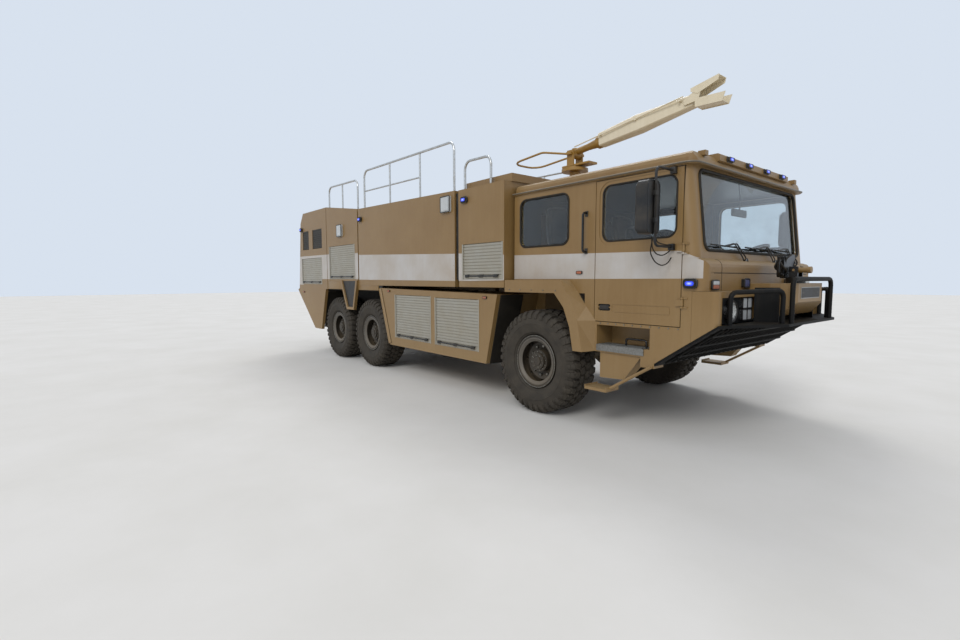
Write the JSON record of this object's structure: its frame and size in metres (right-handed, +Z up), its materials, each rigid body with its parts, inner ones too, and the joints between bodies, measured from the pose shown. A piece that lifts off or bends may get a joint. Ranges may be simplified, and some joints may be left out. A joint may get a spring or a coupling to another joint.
{
  "type": "airport fire truck",
  "caption": "Airport crash tender: long sand-coloured body with cab in front, roof water monitor, bumper monitor, roller-shutter lockers, handrails, steered front wheels.",
  "frame": {"origin": "on the ground, under the middle of the whole object's box", "axes": "+X forward, +Y to the truck's left, +Z up"},
  "size_m": [10.34, 3.5, 3.8433],
  "materials": {
    "sand_paint": "satin desert sand paint",
    "chassis_paint": "dusty black chassis paint",
    "glass": "clear, lightly tinted",
    "seat_fabric": "woven",
    "dash_plastic": "moulded, matt",
    "shutter_aluminium": "anodised slats, dusty",
    "black_steel": "gloss black paint",
    "lamp_clear": "ribbed lens",
    "lamp_blue": "blue lens",
    "lamp_amber": "amber lens",
    "rail_tube": "bare bright tube",
    "mudguard_rubber": "dusty rubber sheet",
    "mirror_black": "moulded, matt",
    "cream_paint": "worn cream paint",
    "tyre": "dusty tread rubber",
    "rim_paint": "dusty sand paint"
  },
  "bodies": {
    "chassis": {"chassis_frame": "chassis_paint", "axles": "chassis_paint", "springs": "chassis_paint", "drive_shafts": "chassis_paint", "engine_block": "chassis_paint", "cab_floor": "chassis_paint", "cab_shell": "sand_paint", "cab_roof": "sand_paint", "cab_glass": "glass", "seats": "seat_fabric", "dashboard": "dash_plastic", "engine_bay": "sand_paint", "rear_locker": "sand_paint", "tank_body": "sand_paint", "front_body": "sand_paint", "side_lockers": "sand_paint", "shutters": "shutter_aluminium", "vents": "chassis_paint", "fenders": "sand_paint", "bumper": "sand_paint", "bull_bar": "black_steel", "headlamps": "lamp_clear", "blue_lamps": "lamp_blue", "marker_lamps": "lamp_amber", "scene_lamps": "lamp_clear", "cab_skirts": "sand_paint", "cab_steps": "shutter_aluminium", "low_steps": "sand_paint", "grab_handles": "black_steel", "handrails_right": "rail_tube", "handrails_left": "rail_tube", "mudguards": "mudguard_rubber", "monitor_base": "sand_paint"},
    "door_right": {"door_right": "sand_paint", "door_glass_right": "glass", "mirror_right": "mirror_black"},
    "knuckle_right": {"knuckle_right": "chassis_paint"},
    "wheel_front_right": {"tyre_front_right": "tyre", "rim_front_right": "rim_paint"},
    "wheel_middle_right": {"tyre_middle_right": "tyre", "rim_middle_right": "rim_paint"},
    "wheel_rear_right": {"tyre_rear_right": "tyre", "rim_rear_right": "rim_paint"},
    "door_left": {"door_left": "sand_paint", "door_glass_left": "glass", "mirror_left": "mirror_black"},
    "knuckle_left": {"knuckle_left": "chassis_paint"},
    "wheel_front_left": {"tyre_front_left": "tyre", "rim_front_left": "rim_paint"},
    "wheel_middle_left": {"tyre_middle_left": "tyre", "rim_middle_left": "rim_paint"},
    "wheel_rear_left": {"tyre_rear_left": "tyre", "rim_rear_left": "rim_paint"},
    "roof_turret": {"roof_turret": "sand_paint"},
    "roof_barrel": {"roof_barrel": "cream_paint", "monitor_breech": "sand_paint"},
    "bumper_turret": {"bumper_turret": "black_steel"},
    "bumper_nozzle": {"bumper_nozzle": "sand_paint"}
  },
  "joints": [
    {"name": "door_right_swing", "type": "hinge", "parent": "chassis", "child": "door_right", "pos_m": [4.503, -1.333, 1.6], "axis": [0, 0, 1], "range_deg": [0, 75]},
    {"name": "steer_right", "type": "hinge", "parent": "chassis", "child": "knuckle_right", "pos_m": [2.73, -0.98, 0.62], "axis": [0, 0, 1], "range_deg": [-28, 28]},
    {"name": "roll_front_right", "type": "hinge", "parent": "knuckle_right", "child": "wheel_front_right", "pos_m": [2.73, -1.25, 0.62], "axis": [0, 1, 0], "continuous": true},
    {"name": "roll_middle_right", "type": "hinge", "parent": "chassis", "child": "wheel_middle_right", "pos_m": [-1.47, -1.25, 0.62], "axis": [0, 1, 0], "continuous": true},
    {"name": "roll_rear_right", "type": "hinge", "parent": "chassis", "child": "wheel_rear_right", "pos_m": [-2.9, -1.25, 0.62], "axis": [0, 1, 0], "continuous": true},
    {"name": "door_left_swing", "type": "hinge", "parent": "chassis", "child": "door_left", "pos_m": [4.503, 1.333, 1.6], "axis": [0, 0, -1], "range_deg": [0, 75]},
    {"name": "steer_left", "type": "hinge", "parent": "chassis", "child": "knuckle_left", "pos_m": [2.73, 0.98, 0.62], "axis": [0, 0, 1], "range_deg": [-28, 28]},
    {"name": "roll_front_left", "type": "hinge", "parent": "knuckle_left", "child": "wheel_front_left", "pos_m": [2.73, 1.25, 0.62], "axis": [0, 1, 0], "continuous": true},
    {"name": "roll_middle_left", "type": "hinge", "parent": "chassis", "child": "wheel_middle_left", "pos_m": [-1.47, 1.25, 0.62], "axis": [0, 1, 0], "continuous": true},
    {"name": "roll_rear_left", "type": "hinge", "parent": "chassis", "child": "wheel_rear_left", "pos_m": [-2.9, 1.25, 0.62], "axis": [0, 1, 0], "continuous": true},
    {"name": "roof_monitor_turn", "type": "hinge", "parent": "chassis", "child": "roof_turret", "pos_m": [2.1, 0, 3.13], "axis": [0, 0, 1], "range_deg": [-90, 90]},
    {"name": "roof_monitor_tilt", "type": "hinge", "parent": "roof_turret", "child": "roof_barrel", "pos_m": [2.1, 0, 3.38], "axis": [0, -1, 0], "range_deg": [-9, 24]},
    {"name": "bumper_monitor_turn", "type": "hinge", "parent": "chassis", "child": "bumper_turret", "pos_m": [4.99, 0, 1.56], "axis": [0, 0, 1], "range_deg": [-45, 45]},
    {"name": "bumper_monitor_tilt", "type": "hinge", "parent": "bumper_turret", "child": "bumper_nozzle", "pos_m": [4.99, 0, 1.69], "axis": [0, -1, 0], "range_deg": [-10, 40]}
  ],
  "couplings": [
    {"joint": "steer_left", "follows": "steer_right", "ratio": 1}
  ]
}
